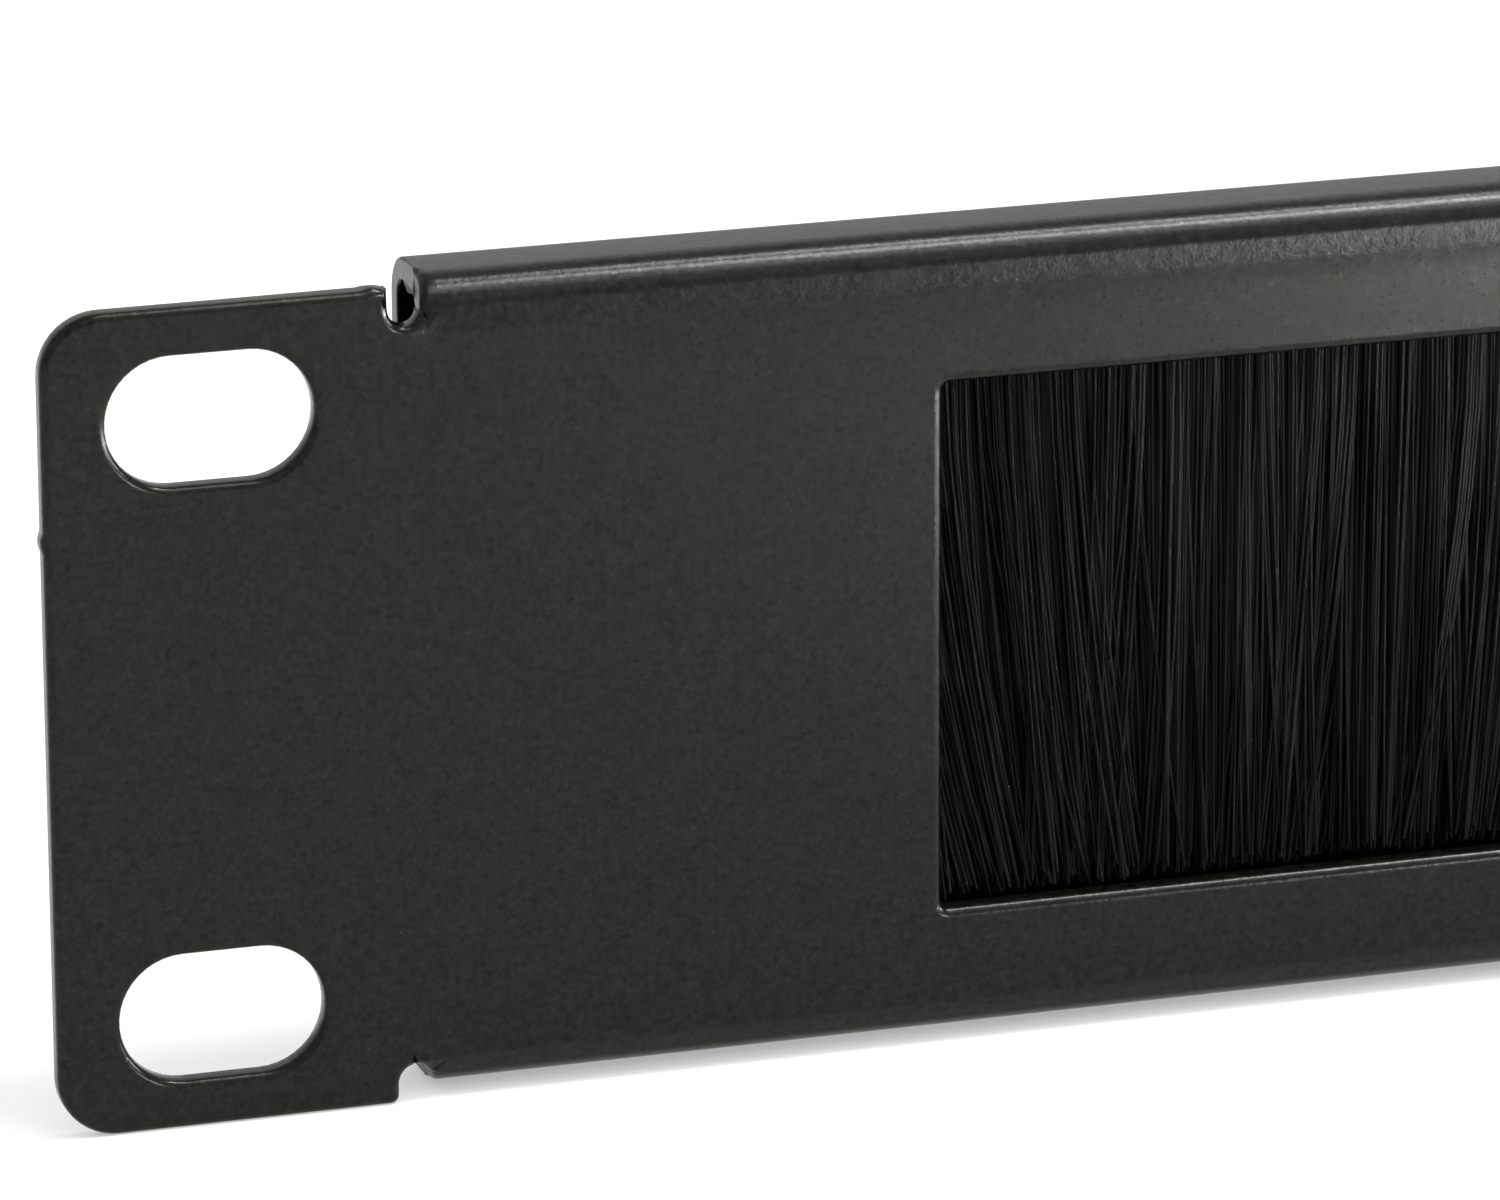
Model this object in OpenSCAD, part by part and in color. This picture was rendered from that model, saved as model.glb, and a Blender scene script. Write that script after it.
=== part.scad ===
// Rack brush strip panel, one rack unit high, for a 19-inch rack.
// +X runs along the panel, -Y is the front, +Z is up.
// The origin is the middle of the panel on the rear face of its ears, where it meets the rack rails.

/* [Panel] */
// Overall width across the two ears
panel_w = 482.6; // [482:0.1:483]
// Height of the ears
ear_h = 43.65; // [43.4:0.05:44]
// Thickness of the sheet
sheet_t = 1.2; // [1:0.1:1.5]
// Corner radius of the ears
ear_r = 3.2; // [1:0.1:5]

/* [Rack slots] */
// Distance between the slot columns
slot_pitch_x = 465; // [464:0.1:466]
// Distance between the slot rows
slot_pitch_z = 31.75; // [31.7:0.05:31.8]
// Slot length, end to end
slot_l = 10.9; // [9:0.1:13]
// Slot width
slot_w = 6.8; // [6.5:0.05:7.2]

/* [Folds] */
// Height of the folded body
body_h = 43.6; // [43:0.1:44]
// How much higher the folded body sits than the ears
body_rise = 0.4; // [0:0.1:0.4]
// Depth of the folds, from the front face to the back of the lips
fold_d = 7; // [6.6:0.1:9]
// Height of the rear lips, measured over the folds
lip_h = 8; // [6:0.5:10]
// Outer radius of the folds
fold_r = 2.25; // [2:0.05:2.6]
// Distance from the ear's outer edge to the end of the folds
fold_start = 20.2; // [20:0.05:22]
// Width of the relief notches beside the folds
notch_w = 2.05; // [1.6:0.05:3]
// Depth of the relief notches below the ear's edge
notch_d = 2; // [1.8:0.1:2.4]

/* [Window] */
// Length of the cable window
window_w = 386.8; // [300:0.1:400]
// Height of the cable window
window_h = 28.6; // [24:0.1:29]
// Corner radius of the cable window
window_r = 0.4; // [0.3:0.1:2]

/* [Brush] */
// Length of the brush channel
brush_w = 398; // [310:0.5:404]
// Width of the brush channel, front to back
channel_w = 4; // [3.6:0.1:4.2]
// Height of the brush channel
channel_h = 5.6; // [5:0.1:6]
// Wall thickness of the brush channel
channel_t = 0.6; // [0.4:0.1:0.8]
// Diameter of the core wire that holds the filaments
wire_d = 1.2; // [0.8:0.1:1.4]
// Mean height of the filament tips above the window's lower edge
tip_gap = 0.4; // [0:0.1:3]
// Number of tufts along the brush
tufts = 118; // [60:1:119]

/* [Clamp screws] */
// Number of screws that press on the brush channel
screws = 7; // [3:1:9]
// Thread diameter
screw_d = 3; // [2.5:0.5:3]
// Head diameter
head_d = 5.2; // [4.5:0.1:5.6]
// Head height
head_h = 1.9; // [1.5:0.1:2.4]

/* [Hidden] */
$fn = 48;
eps = 0.01;

body_top = body_h / 2 + body_rise;
body_bottom = body_top - body_h;
body_w = panel_w - 2 * fold_start;
notch_x = panel_w / 2 - fold_start + notch_w / 2;
notch_z = ear_h / 2 - notch_d + notch_w / 2;
pocket_top = body_top - sheet_t;
lip_y = fold_d - 2 * sheet_t;
brush_y = channel_w / 2;
wire_z = pocket_top - channel_w / 2;
channel_z = pocket_top - channel_h;
brush_in = channel_w / 2 - channel_t;
mouth = 0.3;
stub_w = 0.6;
stub_h = 0.13;
tip_z = -window_h / 2 + tip_gap;
screw_z = body_top - lip_h / 2 - 0.9;
screw_pitch = brush_w / screws;
screw_l = lip_y + sheet_t - channel_w;
dome_r = head_d * 0.72;
recess_d = 1.1;
curtain_w = brush_w - 1;
tuft_w = curtain_w / tufts;
tip_drop = rands(-0.9, 0.9, tufts + 1, 41);
gap_h = rands(1.5, 9, tufts + 1, 42);
gap_lean = rands(-0.7, 0.7, tufts + 1, 43);
gap_w = 0.45;
ridges = 4 * tufts;
ridge_in = rands(0, 0.16, ridges + 1, 44);

function ridge_x(i) = (i / ridges - 0.5) * curtain_w;
function ridge_y(i) = brush_in - mouth - 0.05 - ridge_in[i] - (i % 2) * 0.12;

// Three points along the bottom of tuft i: left tip, right tip, top of the gap to its right
function tuft_points(i) = let (x = i * tuft_w - curtain_w / 2, z = tip_z + tip_drop[i]) concat(
    [[x + (i > 0 ? gap_w / 2 : 0), z], [x + tuft_w - (i < tufts - 1 ? gap_w / 2 : 0), z + 0.4 * gap_lean[i]]],
    i < tufts - 1 ? [[x + tuft_w + gap_lean[i], tip_z + gap_h[i]]] : []
);

panel_color = [0.2, 0.2, 0.19];
zinc_color = [0.72, 0.73, 0.74];
wire_color = [0.6, 0.6, 0.6];
bristle_color = [0.08, 0.08, 0.08];

// A flat shape drawn in X and Z, thickened from y to y + depth
module upright(y, depth) {
    translate([0, y + depth, 0]) rotate([90, 0, 0]) linear_extrude(depth) children();
}

// A section drawn in Y and Z, drawn out along X about the middle
module along_x(length) {
    translate([-length / 2, 0, 0]) rotate([90, 0, 90]) linear_extrude(length) children();
}

module rounded_rect(w, h, r) {
    square([w, h - 2 * r], center = true);
    square([w - 2 * r, h], center = true);
    for (x = [-1, 1], z = [-1, 1])
        translate([x * (w / 2 - r), z * (h / 2 - r)]) circle(r);
}

// A slot with round ends, lying along X
module slot_shape() {
    square([slot_l - slot_w, slot_w], center = true);
    for (x = [-1, 1])
        translate([x * (slot_l - slot_w) / 2, 0]) circle(d = slot_w);
}

// One relief notch, open towards +Z
module notch_shape() {
    circle(d = notch_w);
    translate([-notch_w / 2, 0]) square([notch_w, ear_h]);
}

// A low burr on an edge that faces +Z
module burr() {
    polygon([
        [-stub_w, -0.5], [stub_w, -0.5], [stub_w, 0], [stub_w / 4, stub_h], [-stub_w / 4, stub_h], [-stub_w, 0]
    ]);
}

// Burrs left on the edges where the blank was snapped out of its sheet
module stubs() {
    translate([-panel_w / 2, ear_h * 0.23]) rotate(90) burr();
    translate([-notch_x - notch_w / 2 - stub_w - 0.2, ear_h / 2]) burr();
}

// The flat front of the sheet: ears with notches, and the face between the fold lines
module face_shape() {
    stubs();
    difference() {
        rounded_rect(panel_w, ear_h, ear_r);
        translate([-notch_x, body_top - fold_r]) square([2 * notch_x, ear_h]);
        translate([-notch_x, body_bottom + fold_r - ear_h]) square([2 * notch_x, ear_h]);
        for (x = [-1, 1], z = [0, 1])
            mirror([0, z]) translate([x * notch_x, notch_z]) notch_shape();
    }
}

// Section of a bend: a quarter ring whose outside faces -Y and +Z
module bend_section() {
    intersection() {
        difference() {
            circle(fold_r);
            circle(fold_r - sheet_t);
        }
        translate([-2 * fold_r, 0]) square(2 * fold_r);
    }
}

// Section of the top fold: bend, flange, bend and return lip
module fold_section() {
    front = -sheet_t;
    translate([front + fold_r, body_top - fold_r]) bend_section();
    translate([front + fold_r, body_top - sheet_t]) square([fold_d - 2 * fold_r, sheet_t]);
    translate([front + fold_d - fold_r, body_top - fold_r]) mirror([1, 0]) bend_section();
    translate([lip_y, body_top - lip_h]) square([sheet_t, lip_h - fold_r]);
}

// A fold, with the first of its front bend running on to the round ends of the notches
module fold(notch_middle) {
    low = body_top - fold_r - sheet_t;
    along_x(body_w) fold_section();
    for (x = [0, 1])
        mirror([x, 0, 0]) intersection() {
            along_x(panel_w) fold_section();
            upright(-2 * sheet_t, 2.5 * sheet_t) difference() {
                translate([body_w / 2 - 1, low]) square([1 + notch_w / 2, notch_middle - 0.35 - low]);
                translate([notch_x, notch_middle]) circle(d = notch_w);
            }
        }
}

module panel() {
    color(panel_color) difference() {
        union() {
            upright(-sheet_t, sheet_t) face_shape();
            fold(notch_z);
            translate([0, 0, body_top + body_bottom]) mirror([0, 0, 1]) fold(notch_z + 2 * body_rise);
        }
        upright(-2 * sheet_t, 3 * sheet_t) rounded_rect(window_w, window_h, window_r);
        for (x = [-1, 1], z = [-1, 1])
            translate([x * slot_pitch_x / 2, 0, z * slot_pitch_z / 2])
                upright(-2 * sheet_t, 3 * sheet_t) slot_shape();
        for (i = [1 : screws])
            at_screw(i) cylinder(h = 3 * sheet_t, d = screw_d, center = true);
    }
}

// Places a screw: its origin on the rear face of the lip, its head towards +Z
module at_screw(i) {
    translate([(i - (screws + 1) / 2) * screw_pitch, lip_y + sheet_t, screw_z]) rotate([-90, 0, 0]) children();
}

// Outline of the crimped channel, shrunk by inset: round back, straight cheeks, mouth pinched in
module channel_outline(inset) {
    r = channel_w / 2 - inset;
    low = channel_z - (inset > 0 ? eps : 0);
    translate([brush_y, wire_z]) circle(r);
    translate([brush_y, 0]) polygon([
        [-r, wire_z], [-r, channel_z + 1], [-r + mouth, low],
        [r - mouth, low], [r, channel_z + 1], [r, wire_z]
    ]);
}

module brush_channel() {
    color(zinc_color) along_x(brush_w) difference() {
        channel_outline(0);
        channel_outline(channel_t);
    }
}

module core_wire() {
    color(wire_color) translate([-brush_w / 2, brush_y, wire_z]) rotate([0, 90, 0]) cylinder(h = brush_w, d = wire_d);
}

// Plan of the filament curtain: ridges front and back, each standing out a little differently
module curtain_plan() {
    polygon(concat(
        [for (i = [0 : ridges]) [ridge_x(i), brush_y - ridge_y(i)]],
        [for (i = [ridges : -1 : 0]) [ridge_x(i), brush_y + ridge_y(i)]]
    ));
}

// Front outline of the curtain: each tuft ends in a slanted tip, with a narrow gap up to its neighbour
module curtain_front() {
    polygon(concat(
        [[-curtain_w / 2, channel_z + 0.4]],
        [for (i = [0 : tufts - 1], p = tuft_points(i)) p],
        [[curtain_w / 2, channel_z + 0.4]]
    ));
}

// Filaments: folded round the core wire, filling the channel, and hanging free below its mouth
module bristles() {
    color(bristle_color) union() {
        along_x(curtain_w) difference() {
            channel_outline(channel_t);
            translate([brush_y, wire_z]) circle(d = wire_d);
        }
        intersection() {
            upright(0, channel_w) curtain_front();
            translate([0, 0, -window_h]) linear_extrude(2 * window_h) curtain_plan();
        }
    }
}

// A pan head screw: its seat is at z = 0, its flat tip bears on the brush channel
module clamp_screw(i) {
    color(zinc_color) at_screw(i) difference() {
        union() {
            translate([0, 0, -screw_l]) cylinder(h = screw_l + eps, d = screw_d);
            rotate_extrude() intersection() {
                square([head_d / 2, head_h]);
                translate([0, head_h - dome_r]) circle(dome_r, $fn = 96);
            }
        }
        for (a = [0, 90])
            rotate([0, 0, a + 20 * i]) translate([0, 0, head_h])
                cube([head_d * 0.6, 0.8, 2 * recess_d], center = true);
    }
}

panel();
brush_channel();
core_wire();
bristles();
for (i = [1 : screws])
    clamp_screw(i);
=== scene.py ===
"""Rack brush strip panel: a folded, powder coated steel sheet with a strip brush behind its window."""
import math
import random

import bmesh
import bpy
from mathutils import Matrix, Vector


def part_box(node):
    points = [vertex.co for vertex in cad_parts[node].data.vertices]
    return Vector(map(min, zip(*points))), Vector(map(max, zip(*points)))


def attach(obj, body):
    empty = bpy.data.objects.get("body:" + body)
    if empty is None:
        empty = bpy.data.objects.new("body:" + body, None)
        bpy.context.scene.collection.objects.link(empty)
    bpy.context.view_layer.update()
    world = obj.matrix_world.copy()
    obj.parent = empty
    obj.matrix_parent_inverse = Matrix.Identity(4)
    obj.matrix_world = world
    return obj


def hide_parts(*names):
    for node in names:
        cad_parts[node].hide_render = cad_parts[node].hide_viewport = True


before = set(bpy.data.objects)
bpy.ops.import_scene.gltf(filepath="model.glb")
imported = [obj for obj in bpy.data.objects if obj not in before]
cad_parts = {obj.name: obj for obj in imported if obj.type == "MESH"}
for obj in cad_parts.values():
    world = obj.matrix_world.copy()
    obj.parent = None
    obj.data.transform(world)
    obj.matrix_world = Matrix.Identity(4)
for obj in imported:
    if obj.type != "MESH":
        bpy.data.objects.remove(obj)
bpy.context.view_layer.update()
MM = 0.001

# What the CAD nodes say about the sizes
panel_low, panel_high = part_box("panel")
channel_low, channel_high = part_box("brush_channel")
curtain_low, curtain_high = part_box("bristles")
front_y = panel_low.y
fold_back_y = panel_high.y
floor_z = panel_low.z

# The window in the sheet, from its centre
window_half_w = 193.4 * MM
window_half_h = 14.3 * MM

# The folds, and the two bends beside the flat front, each with the way it turns
fold_r = 2.25 * MM  # outer radius of the bends
fold_end_x = 221.1 * MM  # where the folds end, beside the notches
fold_trim_x = fold_end_x - 0.8 * MM  # the long faces of the folds are cut free of the ends here
fold_zone_z = 16 * MM  # only the ears and what belongs to a fold reach past this height
top_bend_z = panel_high.z - fold_r
bottom_bend_z = -21.4 * MM + fold_r
bends = ((1, top_bend_z), (-1, bottom_bend_z))

# How the press leaves the bends
ease_h = 3.4 * MM  # the face starts to lean back this far before a bend
ease_depth = 0.15 * MM  # how far back it is where the bend starts
ease_run = 0.19  # the lean levels off within this share of ease_h beyond that
ease_side = 1.0 * MM  # the lean fades out over this width beside the end of a fold
ease_cuts = (0.45 * MM, 0.8 * MM, 1.2 * MM, 1.6 * MM, 2.1 * MM, 2.7 * MM, ease_h)

# The relief notches beside the folds
notch_w = 2.05 * MM
notch_pull = 0.27 * MM  # how much the bends draw them in

# Radii and steps of the rims
window_rim = (0.6 * MM, 6)
front_rim = (0.45 * MM, 5)
coat_rim = (0.14 * MM, 2)  # rims that only the coat rounds

# The brush is made in equal lengths of separate filaments, set in tufts
brush_parts = 6
part_gap = 0.2 * MM  # left free at each end of a length
part_filaments = 4200
first_seed = 100
filament_r = 0.09 * MM
filament_points = 6
tuft_size = 9
tuft_w = 1.4 * MM
root_depth = 0.95 * MM  # how far the roots may lie from the middle of the channel
stray_share = 0.025
stray_lean = 3.0 * MM
back_every = 3  # one row in three stands evenly at the back, so that no daylight shows through
back_rows_wide = 9  # its filaments are spread over this many rows


def clamp(value, low=0.0, high=1.0):
    """The value kept between two limits."""
    return min(max(value, low), high)


# ---------------------------------------------------------------- materials


def new_material(name):
    """A material with a Principled shader, its node tree, and the object coordinates."""
    mat = bpy.data.materials.new(name)
    mat.use_nodes = True
    tree = mat.node_tree
    shader = tree.nodes["Principled BSDF"]
    where = tree.nodes.new("ShaderNodeTexCoord").outputs["Object"]
    return mat, tree, shader, where


def noise(tree, where, size, detail=2.0, roughness=0.5):
    """Noise with features of about the given size in metres."""
    node = tree.nodes.new("ShaderNodeTexNoise")
    node.inputs["Scale"].default_value = 1.0 / size
    node.inputs["Detail"].default_value = detail
    node.inputs["Roughness"].default_value = roughness
    tree.links.new(where, node.inputs["Vector"])
    return node.outputs["Fac"]


def ramp(tree, factor, low, high, start=0.3, end=0.7):
    """Turns a factor into a value or a colour that runs from low to high."""
    node = tree.nodes.new("ShaderNodeValToRGB")
    for stop, at, value in zip(node.color_ramp.elements, (start, end), (low, high)):
        stop.position = at
        stop.color = (*value, 1.0) if isinstance(value, tuple) else (value, value, value, 1.0)
    tree.links.new(factor, node.inputs["Fac"])
    return node.outputs["Color"]


def bump(tree, height, depth, normal=None):
    """A bump of the given depth in metres."""
    node = tree.nodes.new("ShaderNodeBump")
    node.inputs["Strength"].default_value = 1.0
    node.inputs["Distance"].default_value = depth
    tree.links.new(height, node.inputs["Height"])
    if normal is not None:
        tree.links.new(normal, node.inputs["Normal"])
    return node.outputs["Normal"]


def stretched(tree, where, scale):
    """The coordinates scaled along each axis, for a pattern drawn out one way."""
    node = tree.nodes.new("ShaderNodeMapping")
    node.inputs["Scale"].default_value = scale
    tree.links.new(where, node.inputs["Vector"])
    return node.outputs["Vector"]


def powder_coat():
    """Matt black powder coat: fine orange peel, a little unevenness in gloss and tone."""
    mat, tree, shader, where = new_material("black_powder_coat")
    mottle = noise(tree, where, 0.5 * MM, detail=3.0, roughness=0.6)
    tone = ramp(tree, mottle, (0.0006, 0.0008, 0.0004), (0.0062, 0.0067, 0.0046), start=0.28, end=0.72)
    tree.links.new(tone, shader.inputs["Base Color"])
    gloss = ramp(tree, noise(tree, where, 2.5 * MM, detail=5.0), 0.195, 0.225)
    tree.links.new(gloss, shader.inputs["Roughness"])
    grain, fine_peel, broad_peel = (0.18, 1.0, 0.006), (0.55, 2.0, 0.007), (2.2, 2.0, 0.01)
    normal = None
    for size, detail, depth in (grain, fine_peel, broad_peel):
        normal = bump(tree, noise(tree, where, size * MM, detail), depth * MM, normal)
    tree.links.new(normal, shader.inputs["Normal"])
    speckle = ramp(tree, noise(tree, where, 0.3 * MM, detail=2.0, roughness=0.6), 0.14, 0.245)
    tree.links.new(speckle, shader.inputs["Specular IOR Level"])
    shader.inputs["Specular Tint"].default_value = (0.985, 1.0, 0.95, 1.0)
    return mat


def black_filament():
    """Black nylon: nearly matt, with a soft sheen along the filament."""
    mat, tree, shader, where = new_material("black_nylon_filament")
    along = stretched(tree, where, (1.0, 1.0, 0.06))
    tone = ramp(tree, noise(tree, along, 0.7 * MM), (0.0015, 0.0015, 0.0014), (0.0095, 0.0095, 0.0088))
    tree.links.new(tone, shader.inputs["Base Color"])
    gloss = ramp(tree, noise(tree, along, 0.5 * MM), 0.5, 0.65)
    tree.links.new(gloss, shader.inputs["Roughness"])
    shader.inputs["Specular IOR Level"].default_value = 0.03
    return mat


def galvanised_steel():
    """Zinc coated strip: faint spangle and fine drawing lines along the channel."""
    mat, tree, shader, where = new_material("galvanised_strip")
    tone = ramp(tree, noise(tree, where, 3 * MM, detail=4.0), (0.42, 0.43, 0.44), (0.58, 0.59, 0.6))
    tree.links.new(tone, shader.inputs["Base Color"])
    shader.inputs["Metallic"].default_value = 1.0
    lines = stretched(tree, where, (0.04, 1.0, 1.0))
    gloss = ramp(tree, noise(tree, lines, 0.3 * MM, detail=3.0), 0.32, 0.5)
    tree.links.new(gloss, shader.inputs["Roughness"])
    tree.links.new(bump(tree, noise(tree, lines, 0.25 * MM), 0.004 * MM), shader.inputs["Normal"])
    return mat


def drawn_wire():
    """Plain drawn steel wire, a little dull."""
    mat, tree, shader, where = new_material("drawn_steel_wire")
    lines = stretched(tree, where, (0.05, 1.0, 1.0))
    tone = ramp(tree, noise(tree, lines, 0.4 * MM, detail=3.0), (0.28, 0.28, 0.29), (0.4, 0.4, 0.41))
    tree.links.new(tone, shader.inputs["Base Color"])
    shader.inputs["Metallic"].default_value = 1.0
    shader.inputs["Roughness"].default_value = 0.4
    return mat


def zinc_plate():
    """Bright zinc plate on the screws, with fine turning marks and a few duller patches."""
    mat, tree, shader, where = new_material("zinc_plate")
    tone = ramp(tree, noise(tree, where, 1.2 * MM, detail=4.0), (0.5, 0.51, 0.53), (0.68, 0.69, 0.71))
    tree.links.new(tone, shader.inputs["Base Color"])
    shader.inputs["Metallic"].default_value = 1.0
    gloss = ramp(tree, noise(tree, where, 0.8 * MM, detail=3.0), 0.22, 0.38)
    tree.links.new(gloss, shader.inputs["Roughness"])
    tree.links.new(bump(tree, noise(tree, where, 0.2 * MM), 0.004 * MM), shader.inputs["Normal"])
    return mat


def pale_floor():
    """Seamless white paper for the floor, lit from below as well."""
    mat, tree, shader, where = new_material("white_paper")
    tone = ramp(tree, noise(tree, where, 0.4), (0.6, 0.6, 0.6), (0.63, 0.63, 0.63))
    tree.links.new(tone, shader.inputs["Base Color"])
    shader.inputs["Roughness"].default_value = 0.9
    shader.inputs["Emission Color"].default_value = (1.0, 1.0, 1.0, 1.0)
    shader.inputs["Emission Strength"].default_value = 0.34
    return mat


# ---------------------------------------------------------------- helpers


def in_scene(name, data):
    """A new object with this data, linked to the scene."""
    made = bpy.data.objects.new(name, data)
    bpy.context.scene.collection.objects.link(made)
    return made


def give(mesh, material):
    """Makes this the mesh's only material."""
    mesh.materials.clear()
    mesh.materials.append(material)


def shade_smooth(mesh):
    """Shades every face of the mesh smoothly."""
    for face in mesh.polygons:
        face.use_smooth = True


def add_piece(mesh, name, material, slot, *nodes):
    """Puts a finished mesh in the scene, on the one body, standing for CAD nodes where it replaces them."""
    piece = in_scene(name, mesh)
    give(mesh, material)
    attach(piece, "root")
    if nodes:
        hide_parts(*nodes)
    return piece


def merged_copy(node):
    """A bmesh of a CAD node with its loose triangles merged and its flat faces made whole."""
    weld = 0.002 * MM
    bm = bmesh.new()
    bm.from_mesh(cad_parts[node].data)
    bmesh.ops.remove_doubles(bm, verts=bm.verts, dist=weld)
    bmesh.ops.dissolve_degenerate(bm, dist=weld, edges=bm.edges)
    bmesh.ops.dissolve_limit(bm, angle_limit=math.radians(0.5), verts=bm.verts, edges=bm.edges)
    return bm


def soften(bm, edges, width, segments):
    """Rounds these edges to about the given radius."""
    bmesh.ops.bevel(
        bm, geom=edges, offset=width, offset_type="OFFSET", affect="EDGES",
        segments=segments, profile=0.5, material=-1, clamp_overlap=False, loop_slide=False,
    )


def sharp_edges(bm, least=35.0):
    """Edges where two faces meet at more than this many degrees, from outside."""
    return [
        e for e in bm.edges
        if len(e.link_faces) == 2 and e.is_convex and e.calc_face_angle(0.0) > math.radians(least)
    ]


# ---------------------------------------------------------------- panel


def at_window(v):
    """Whether a corner lies on the rim of the cable window."""
    near = 0.1 * MM
    return abs(v.co.x) < window_half_w + near and abs(v.co.z) < window_half_h + near


def on_outside(v):
    """Whether a corner lies on the flat front or on the outside of one of the two bends next to it."""
    near = 0.02 * MM
    if v.co.y < front_y + near:
        return True
    for side, line in bends:
        up = side * (v.co.z - line)
        back = v.co.y - (front_y + fold_r)
        if up > -near and back < near and math.hypot(up, back) > fold_r - 0.05 * MM:
            return True
    return False


def flat_front(bm):
    """The faces of the sheet's flat front."""
    return [
        f for f in bm.faces
        if f.normal.y < -0.999 and abs(f.calc_center_median().y - front_y) < 0.01 * MM
    ]


def cut(bm, faces, point, normal):
    """Cuts these faces along a plane."""
    edges = dict.fromkeys(e for f in faces for e in f.edges)
    verts = dict.fromkeys(v for f in faces for v in f.verts)
    bmesh.ops.bisect_plane(
        bm, geom=[*verts, *edges, *faces], dist=0.001 * MM, plane_co=point, plane_no=normal,
        clear_inner=False, clear_outer=False,
    )


def ease_bends(bm):
    """Lets the flat front run gently into each bend, as the press leaves it, but not beside the notches."""
    for side, line in bends:
        for back in ease_cuts:
            cut(bm, flat_front(bm), (0, 0, line - side * back), (0, 0, 1))
    for share in (0.0, 0.5, 1.0):
        for end in (-1, 1):
            cut(bm, flat_front(bm), (end * (fold_end_x + share * ease_side), 0, 0), (1, 0, 0))
    for end in (-1, 1):
        folded = [f for f in bm.faces if all(abs(v.co.z) > fold_zone_z for v in f.verts)]
        cut(bm, folded, (end * fold_trim_x, 0, 0), (1, 0, 0))
    for v in bm.verts:
        over = max(v.co.z - (top_bend_z - ease_h), (bottom_bend_z + ease_h) - v.co.z, 0.0) / ease_h
        beyond = clamp(over - 1.0, high=ease_run)
        lean = min(over, 1.0) ** 3 + 3.0 * (beyond - beyond ** 2 / (2.0 * ease_run))
        reach = 1.0 - clamp((abs(v.co.x) - fold_end_x) / ease_side)
        fade = clamp((fold_back_y - v.co.y) / (fold_back_y - front_y - fold_r))
        v.co.y += ease_depth * lean * reach * fade


def close_notches(bm):
    """Draws in the lower part of each notch, on the side of the fold, as the bend pulls the sheet there."""
    for v in bm.verts:
        inside = abs(v.co.x) - fold_end_x
        height = max(v.co.z - top_bend_z, bottom_bend_z - v.co.z)
        if -0.05 * MM < inside < notch_w and height > -0.2 * MM and v.co.y < front_y + fold_r:
            fade = clamp((fold_r - height) / (fold_r - notch_w / 2))
            v.co.x += math.copysign(notch_pull * fade * (1.0 - max(inside, 0.0) / notch_w), v.co.x)


def clear_bend_starts(bm):
    """Takes out the close lines along each bend's start, which the rounding of the rims would fold over."""
    long_edge, small_turn = 100 * MM, math.radians(4.5)
    lines = [
        e for e in bm.edges
        if e.calc_length() > long_edge and len(e.link_faces) == 2 and e.calc_face_angle(0.0) < small_turn
        and all(on_outside(v) and abs(v.co.z) > fold_zone_z for v in e.verts)
    ]
    bmesh.ops.dissolve_edges(bm, edges=lines, use_verts=False)


def true_bends(bm):
    """Puts the corners that the rounding of the rims slid along the sheet back on the bends' outside."""
    below, near = -0.5 * MM, 0.015 * MM
    for v in bm.verts:
        for side, line in bends:
            up = side * (v.co.z - line)
            if below < up < fold_r:
                y = front_y + fold_r - math.sqrt(fold_r ** 2 - max(up, 0.0) ** 2)
                if abs(v.co.y - y) < near:
                    v.co.y = y
        v.co.y = max(v.co.y, front_y)
    bmesh.ops.remove_doubles(bm, verts=bm.verts, dist=0.006 * MM)


def coated_panel(material):
    """The folded sheet. Its front rims are rounded by the punch and the coat, the rest only by the coat."""
    bm = merged_copy("panel")
    close_notches(bm)
    clear_bend_starts(bm)
    front = [e for e in sharp_edges(bm) if all(on_outside(v) for v in e.verts)]
    soften(bm, [e for e in front if not all(at_window(v) for v in e.verts)], *front_rim)
    window = [e for e in sharp_edges(bm) if all(on_outside(v) and at_window(v) for v in e.verts)]
    soften(bm, window, *window_rim)
    rear_y, shortest = front_y + 0.5 * MM, 0.02 * MM
    rear = [
        e for e in sharp_edges(bm, 60.0)
        if all(v.co.y > rear_y for v in e.verts) and e.calc_length() > shortest
    ]
    soften(bm, rear, *coat_rim)
    true_bends(bm)
    ease_bends(bm)
    mesh = bpy.data.meshes.new("panel_sheet")
    bm.to_mesh(mesh)
    bm.free()
    shade_smooth(mesh)
    piece = add_piece(mesh, "panel_sheet", material, "powder_coat", "panel")
    even = piece.modifiers.new("even_shading", "WEIGHTED_NORMAL")
    even.keep_sharp = False
    even.weight = 100


# ---------------------------------------------------------------- brush


def filament_profile():
    """A three-sided section for the filaments, so that thousands of them stay light."""
    curve = bpy.data.curves.new("filament_section", "CURVE")
    curve.dimensions = "2D"
    spline = curve.splines.new("POLY")
    spline.points.add(2)
    for i, point in enumerate(spline.points):
        turn = math.radians(90 + 120 * i)
        point.co = (filament_r * math.cos(turn), filament_r * math.sin(turn), 0.0, 1.0)
    spline.use_cyclic_u = True
    return in_scene("filament_section", curve)


def combed(x):
    """How far a tuft rooted at x leans by its tip, in metres: waves along the brush, more at its left end."""
    waves = ((0.9, 55.0, 1.0), (0.7, 131.0, 2.0), (0.5, 320.0, 0.0))
    slow = sum(height * math.sin(x * pace + phase) for height, pace, phase in waves)
    end = 3.0 * math.exp(-(x + window_half_w) / (16 * MM))
    return (slow + end) * MM


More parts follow.
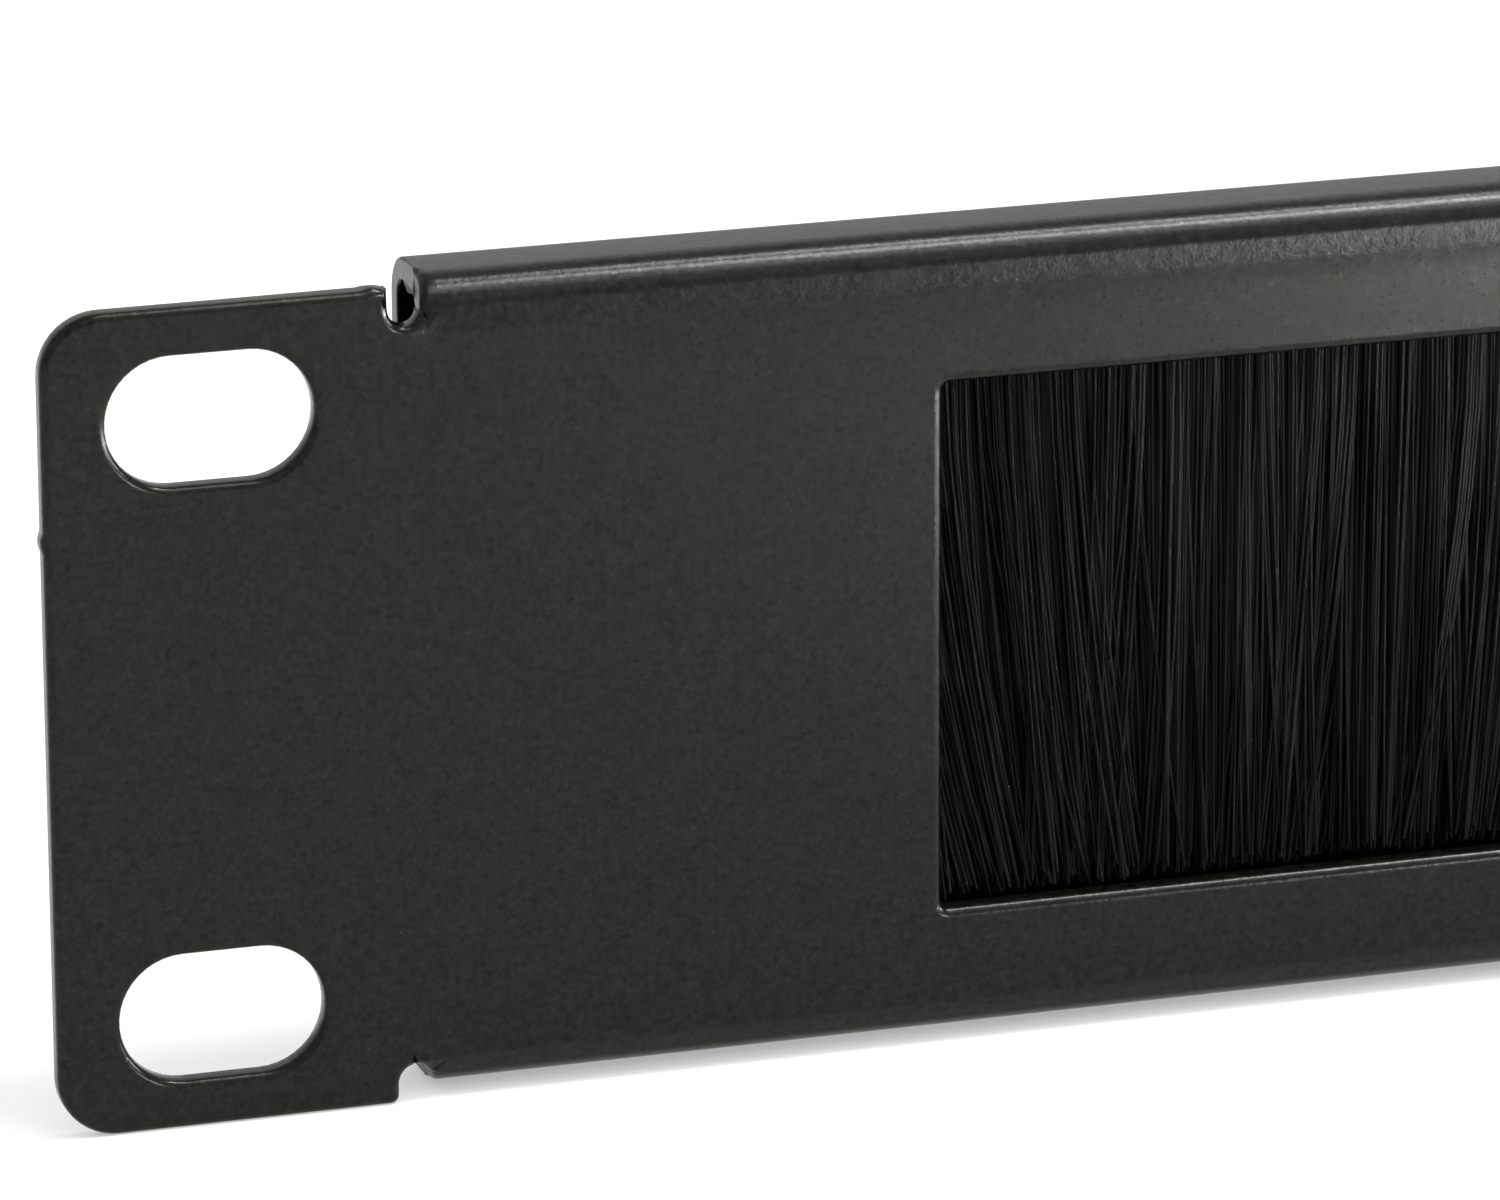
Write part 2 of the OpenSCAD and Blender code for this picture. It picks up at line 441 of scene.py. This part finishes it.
def filaments(name, material, section, first_x, last_x, seed):
    """One length of the brush: filaments from the channel's mouth to just above the window's lower edge."""
    draw = random.Random(seed)
    curve = bpy.data.curves.new(name, "CURVE")
    curve.dimensions = "3D"
    curve.bevel_mode = "OBJECT"
    curve.bevel_object = section
    curve.use_fill_caps = False
    root_z = channel_low.z + 0.6 * MM
    mid_y = (channel_low.y + channel_high.y) / 2
    tufts = part_filaments // tuft_size
    pitch = (last_x - first_x) / tufts
    for i in range(tufts * tuft_size):
        row, place = divmod(i, tuft_size)
        back = row % back_every == 0
        if place == 0:
            tuft_x = first_x + pitch * (row + draw.random())
            tuft_lean = combed(tuft_x) + draw.gauss(0.0, (0.1 if back else 1.2) * MM)
            tuft_bow = 0.0 if back else draw.gauss(0.0, 0.15 * MM)
            tuft_y = draw.uniform(0.5, 0.9) * MM if back else draw.uniform(-0.85, 0.5) * MM
        spread = back_rows_wide * pitch if back else tuft_w
        x = tuft_x + spread * ((place + 0.5) / tuft_size - 0.5) + draw.gauss(0.0, 0.04 * MM)
        x = clamp(x, first_x, last_x)
        y = clamp(tuft_y + draw.gauss(0.0, 0.1 * MM), -root_depth, root_depth)
        lean = tuft_lean + draw.gauss(0.0, (0.06 if back else 0.15) * MM)
        if not back and draw.random() < stray_share:
            lean += draw.uniform(-stray_lean, stray_lean)
        bow = tuft_bow + draw.gauss(0.0, 0.05 * MM)
        out = draw.gauss(0.0, 0.2 * MM)
        tip_z = -window_half_h + draw.uniform(-0.2, 1.0) * MM
        size = draw.uniform(0.8, 1.2)
        spline = curve.splines.new("POLY")
        spline.points.add(filament_points - 1)
        for n, point in enumerate(spline.points):
            t = n / (filament_points - 1)
            px = x + lean * t ** 1.6 + bow * math.sin(math.pi * t)
            py = mid_y + y * (1 + 0.3 * t) + out * t * t
            point.co = (px, py, root_z + (tip_z - root_z) * t, 1.0)
            point.radius = size
    holder = in_scene(name + "_lines", curve)
    mesh = bpy.data.meshes.new_from_object(holder.evaluated_get(bpy.context.evaluated_depsgraph_get()))
    mesh.name = name
    bpy.data.objects.remove(holder)
    shade_smooth(mesh)
    return add_piece(mesh, name, material, "filament")


# ---------------------------------------------------------------- build

coated_panel(powder_coat())

nylon = black_filament()
profile = filament_profile()
brush_len = curtain_high.x - curtain_low.x
for part in range(brush_parts):
    name = f"filaments_{part + 1}"
    start = curtain_low.x + brush_len * part / brush_parts
    end = start + brush_len / brush_parts
    length = filaments(name, nylon, profile, start + part_gap, end - part_gap, first_seed + part)
    if part == 0:
        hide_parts("bristles")
bpy.data.objects.remove(profile)

give(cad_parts["brush_channel"].data, galvanised_steel())
give(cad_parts["core_wire"].data, drawn_wire())
zinc = zinc_plate()
for node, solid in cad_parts.items():
    if node.startswith("clamp_screw"):
        give(solid.data, zinc)

# ---------------------------------------------------------------- floor, light, camera


def floor():
    """A wide sheet of white paper under the panel."""
    bm = bmesh.new()
    bmesh.ops.create_grid(bm, x_segments=1, y_segments=1, size=4.0)
    bmesh.ops.translate(bm, verts=bm.verts, vec=(0.0, 0.0, floor_z))
    mesh = bpy.data.meshes.new("paper")
    bm.to_mesh(mesh)
    bm.free()
    mesh.materials.append(pale_floor())
    in_scene("paper", mesh)


def soft_box(name, place, aim, width, height, power, spread=180):
    """A rectangular soft light at a place, facing a point. A small spread, in degrees, keeps it to a pool."""
    light = bpy.data.lights.new(name, "AREA")
    light.shape = "RECTANGLE"
    light.size = width
    light.size_y = height
    light.energy = power
    light.spread = math.radians(spread)
    lamp = in_scene(name, light)
    lamp.location = place
    lamp.rotation_euler = (Vector(aim) - Vector(place)).to_track_quat("-Z", "Y").to_euler()


def studio_air(strength):
    """Even white light from all round."""
    world = bpy.data.worlds.new("studio")
    world.use_nodes = True
    background = world.node_tree.nodes["Background"]
    background.inputs["Color"].default_value = (1.0, 1.0, 1.0, 1.0)
    background.inputs["Strength"].default_value = strength
    bpy.context.scene.world = world


def place_camera(place, turn, tilt, roll, lens):
    """Puts the camera at a place, turned about the vertical, tilted down and rolled, in degrees."""
    camera = bpy.data.cameras.new("camera")
    camera.lens = lens
    camera.sensor_width = 36.0
    camera.clip_start = 0.01
    camera.clip_end = 20.0
    view = in_scene("camera", camera)
    view.matrix_world = (
        Matrix.Translation(place)
        @ Matrix.Rotation(math.radians(turn), 4, "Z")
        @ Matrix.Rotation(math.radians(90.0 - tilt), 4, "X")
        @ Matrix.Rotation(math.radians(roll), 4, "Z")
    )
    bpy.context.scene.camera = view


floor()
studio_air(0.79)

# Name, place, point it faces, width, height, power and, for the pools on the paper, spread
for lamp in (
    ("back_sky", (0.3, 1.1, 1.1), (-0.1, 0.0, 0.05), 2.4, 0.7, 2.9),
    ("front_card", (0.38, -1.0, 0.15), (-0.17, 0.0, 0.0), 0.26, 0.3, 4.6),
    ("front_side", (1.2, -0.5, 0.3), (-0.15, 0.0, 0.0), 0.6, 0.4, 11.9),
    ("front_high", (0.0, -0.8, 0.9), (-0.15, -0.05, 0.0), 0.8, 0.5, 0.82),
    ("front_top", (0.1, -0.3, 0.8), (0.1, -0.2, 0.0), 0.5, 0.3, 2.0),
    ("top_strip_back", (0.06, 0.05, 0.75), (0.06, 0.05, 0.0), 0.16, 0.08, 1.05),
    ("top_strip_front", (0.06, -0.14, 0.75), (0.06, -0.14, 0.0), 0.16, 0.1, 1.5),
    ("top_strip_right", (0.2, -0.085, 0.75), (0.2, -0.085, 0.0), 0.12, 0.08, 2.5),
    ("paper_glow_right", (0.18, -0.15, 0.5), (0.15, -0.13, 0.0), 0.15, 0.15, 31.0, 40),
    ("paper_glow_near", (-0.02, -0.15, 0.5), (-0.02, -0.15, 0.0), 0.06, 0.06, 1.6, 16),
    ("paper_glow_middle", (-0.06, -0.11, 0.5), (-0.06, -0.11, 0.0), 0.08, 0.06, 0.35, 22),
):
    soft_box(*lamp)

place_camera((-0.33959, -0.42418, 0.13568), turn=-17.771, tilt=16.549, roll=-0.227, lens=214.9)
bpy.context.scene.view_settings.view_transform = "Standard"
